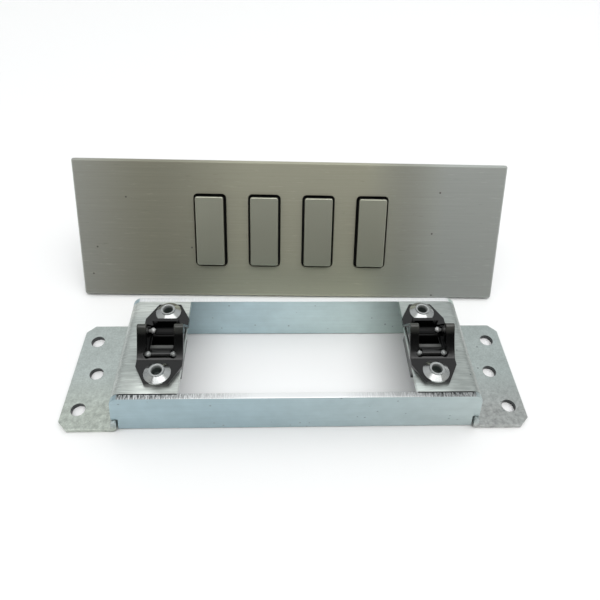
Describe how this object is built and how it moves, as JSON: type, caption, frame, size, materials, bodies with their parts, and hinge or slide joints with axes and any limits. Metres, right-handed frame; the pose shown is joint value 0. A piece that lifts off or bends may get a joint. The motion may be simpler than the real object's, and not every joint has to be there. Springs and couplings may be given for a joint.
{
  "type": "switch panel",
  "caption": "Brushed steel wall switch panel with proud push keys, leaning behind its own folded steel mounting frame, whose sprung catches take the panel's strikes.",
  "frame": {"origin": "centre of the mounting frame's four corner screw holes, on its mounting face", "axes": "+X along the panel to the right seen from the front, +Y from the frame towards the panel behind it, +Z out of the mounting face"},
  "size_m": [0.1784, 0.1046, 0.0501],
  "materials": {
    "plate_steel": "fine brushing along the plate, satin",
    "key_lacquer": "satin metallic lacquer",
    "zinc_steel": "zinc plated sheet, faint bluish sheen",
    "catch_plastic": "satin black moulding",
    "bright_steel": "bright turned",
    "spring_steel": "rolled spring strip",
    "strike_steel": "zinc plated",
    "fastener_steel": "zinc plated",
    "housing_plastic": "fine moulded grain",
    "switch_plastic": "moulded",
    "plunger_plastic": "moulded",
    "board_laminate": "solder mask on glass laminate",
    "terminal_plastic": "moulded grey"
  },
  "bodies": {
    "panel_and_frame": {"face_plate": "plate_steel", "end_bracket_left": "zinc_steel", "end_bracket_right": "zinc_steel", "front_rail": "zinc_steel", "rear_rail": "zinc_steel", "catch_body_left": "catch_plastic", "catch_body_right": "catch_plastic", "catch_rivets": "bright_steel", "front_jaw_pin_left": "bright_steel", "front_jaw_pin_right": "bright_steel", "rear_jaw_pin_left": "bright_steel", "rear_jaw_pin_right": "bright_steel", "front_jaw_spring_left": "spring_steel", "front_jaw_spring_right": "spring_steel", "rear_jaw_spring_left": "spring_steel", "rear_jaw_spring_right": "spring_steel", "strike_left": "strike_steel", "strike_right": "strike_steel", "cover_screws": "fastener_steel", "terminal_screws": "fastener_steel", "plate_studs": "fastener_steel", "stud_nuts": "fastener_steel", "key_carrier": "housing_plastic", "rear_cover": "housing_plastic", "switch_body_1": "switch_plastic", "switch_body_2": "switch_plastic", "switch_body_3": "switch_plastic", "switch_body_4": "switch_plastic", "circuit_board": "board_laminate", "terminal_block": "terminal_plastic"},
    "key_1": {"key_1": "key_lacquer", "switch_plunger_1": "plunger_plastic"},
    "key_2": {"key_2": "key_lacquer", "switch_plunger_2": "plunger_plastic"},
    "key_3": {"key_3": "key_lacquer", "switch_plunger_3": "plunger_plastic"},
    "key_4": {"key_4": "key_lacquer", "switch_plunger_4": "plunger_plastic"},
    "front_jaw_left": {"front_jaw_left": "catch_plastic"},
    "rear_jaw_left": {"rear_jaw_left": "catch_plastic"},
    "front_jaw_right": {"front_jaw_right": "catch_plastic"},
    "rear_jaw_right": {"rear_jaw_right": "catch_plastic"}
  },
  "joints": [
    {"name": "key_1_press", "type": "slide", "parent": "panel_and_frame", "child": "key_1", "axis": [0.0135, 0.8583, -0.5129], "range_m": [0, 0.0015], "stiffness_N_per_m": 400, "springref_m": -0.001},
    {"name": "key_2_press", "type": "slide", "parent": "panel_and_frame", "child": "key_2", "axis": [0.0135, 0.8583, -0.5129], "range_m": [0, 0.0015], "stiffness_N_per_m": 400, "springref_m": -0.001},
    {"name": "key_3_press", "type": "slide", "parent": "panel_and_frame", "child": "key_3", "axis": [0.0135, 0.8583, -0.5129], "range_m": [0, 0.0015], "stiffness_N_per_m": 400, "springref_m": -0.001},
    {"name": "key_4_press", "type": "slide", "parent": "panel_and_frame", "child": "key_4", "axis": [0.0135, 0.8583, -0.5129], "range_m": [0, 0.0015], "stiffness_N_per_m": 400, "springref_m": -0.001},
    {"name": "front_jaw_left_swing", "type": "hinge", "parent": "panel_and_frame", "child": "front_jaw_left", "pos_m": [-0.04725, -0.0052, 0.0217], "axis": [-1, 0, 0], "range_deg": [0, 16], "stiffness_Nm_per_rad": 0.02, "springref_deg": -11.46, "deforming": ["front_jaw_spring_left"]},
    {"name": "rear_jaw_left_swing", "type": "hinge", "parent": "panel_and_frame", "child": "rear_jaw_left", "pos_m": [-0.04725, 0.0052, 0.0217], "axis": [1, 0, 0], "range_deg": [0, 16], "stiffness_Nm_per_rad": 0.02, "springref_deg": -11.46, "deforming": ["rear_jaw_spring_left"]},
    {"name": "front_jaw_right_swing", "type": "hinge", "parent": "panel_and_frame", "child": "front_jaw_right", "pos_m": [0.04725, -0.0052, 0.0217], "axis": [-1, 0, 0], "range_deg": [0, 16], "stiffness_Nm_per_rad": 0.02, "springref_deg": -11.46, "deforming": ["front_jaw_spring_right"]},
    {"name": "rear_jaw_right_swing", "type": "hinge", "parent": "panel_and_frame", "child": "rear_jaw_right", "pos_m": [0.04725, 0.0052, 0.0217], "axis": [1, 0, 0], "range_deg": [0, 16], "stiffness_Nm_per_rad": 0.02, "springref_deg": -11.46, "deforming": ["rear_jaw_spring_right"]}
  ]
}
